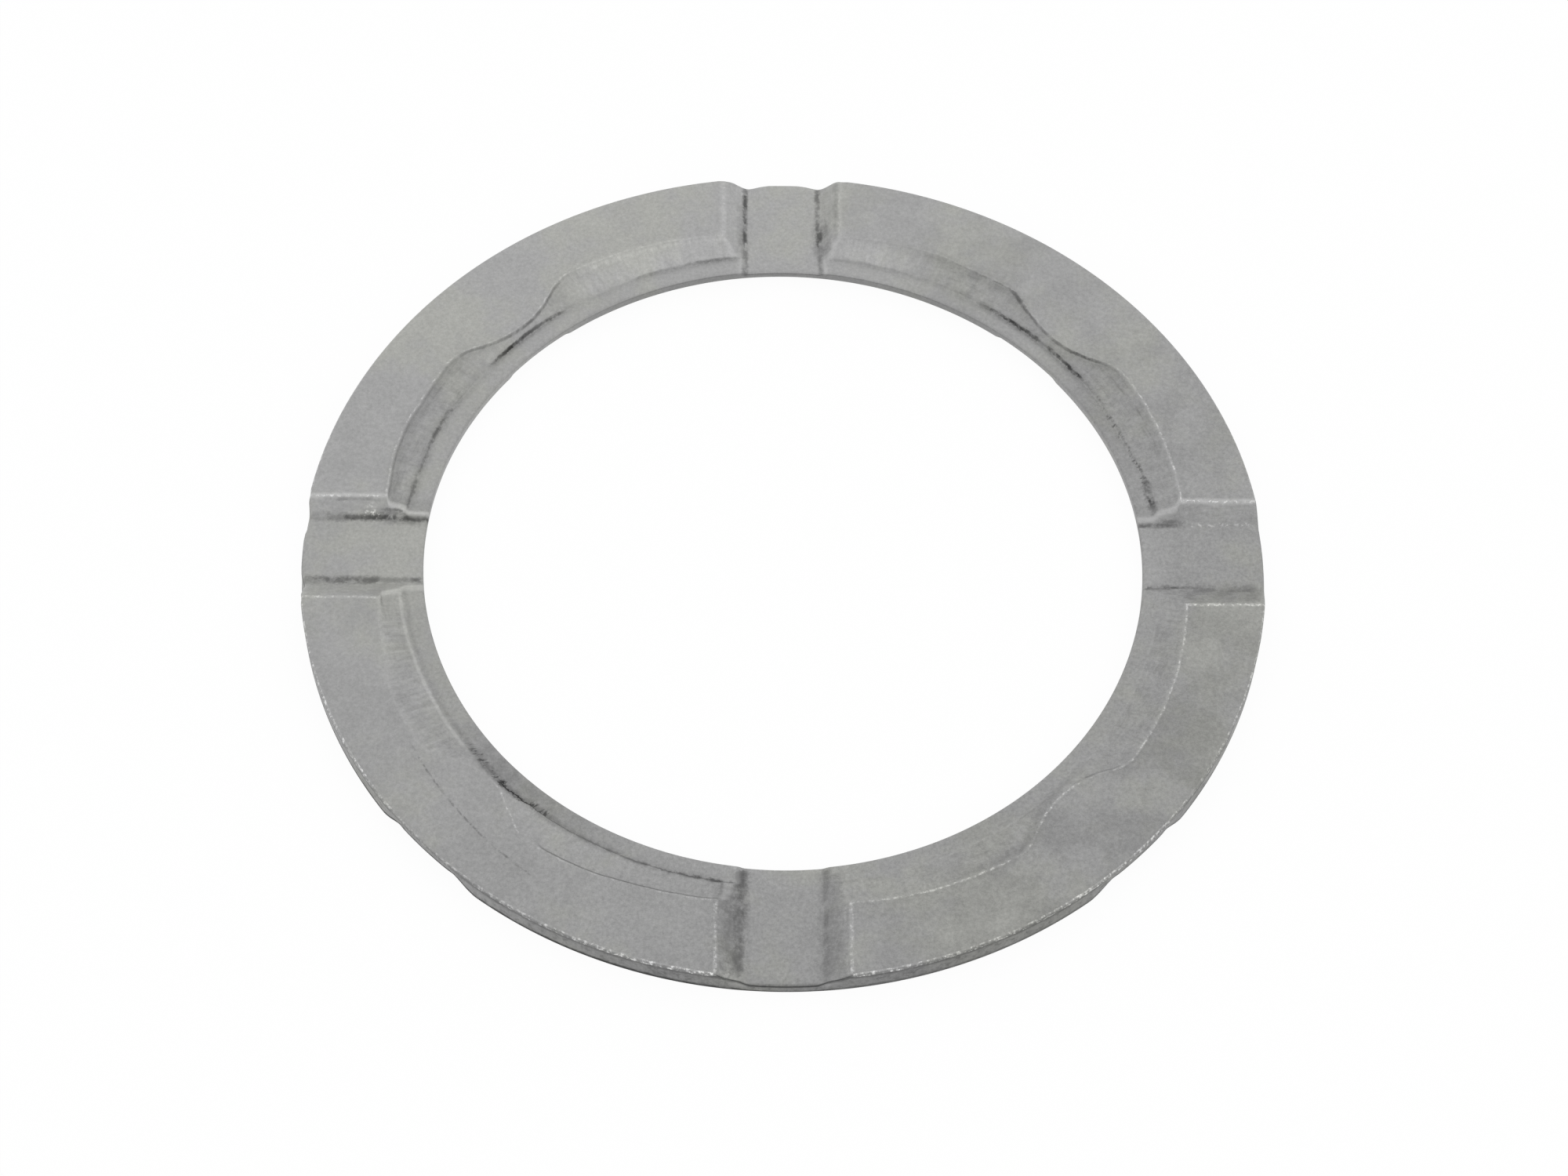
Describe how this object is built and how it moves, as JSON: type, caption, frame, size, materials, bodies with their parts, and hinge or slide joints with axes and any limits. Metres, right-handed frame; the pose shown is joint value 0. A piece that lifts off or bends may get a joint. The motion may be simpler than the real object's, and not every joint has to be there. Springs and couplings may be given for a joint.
{
  "type": "thrust ring",
  "caption": "Flat forged steel thrust ring with radial lubrication grooves in both faces and raised pads with wavy inner edges, which takes the axial load between a turning part and its seat.",
  "frame": {"origin": "on the ring's axis, in the plane of the underside's pads", "axes": "+Z along the ring's axis, out of the face that the picture shows; +X along the middle of one of that face's grooves"},
  "size_m": [0.12, 0.12, 0.0036],
  "materials": {
    "ring": "satin forged steel, neutral grey with faint olive mottling, brighter worn edges and dark residue in the creases"
  },
  "bodies": {
    "root": {"thrust_ring": "ring"}
  },
  "joints": []
}
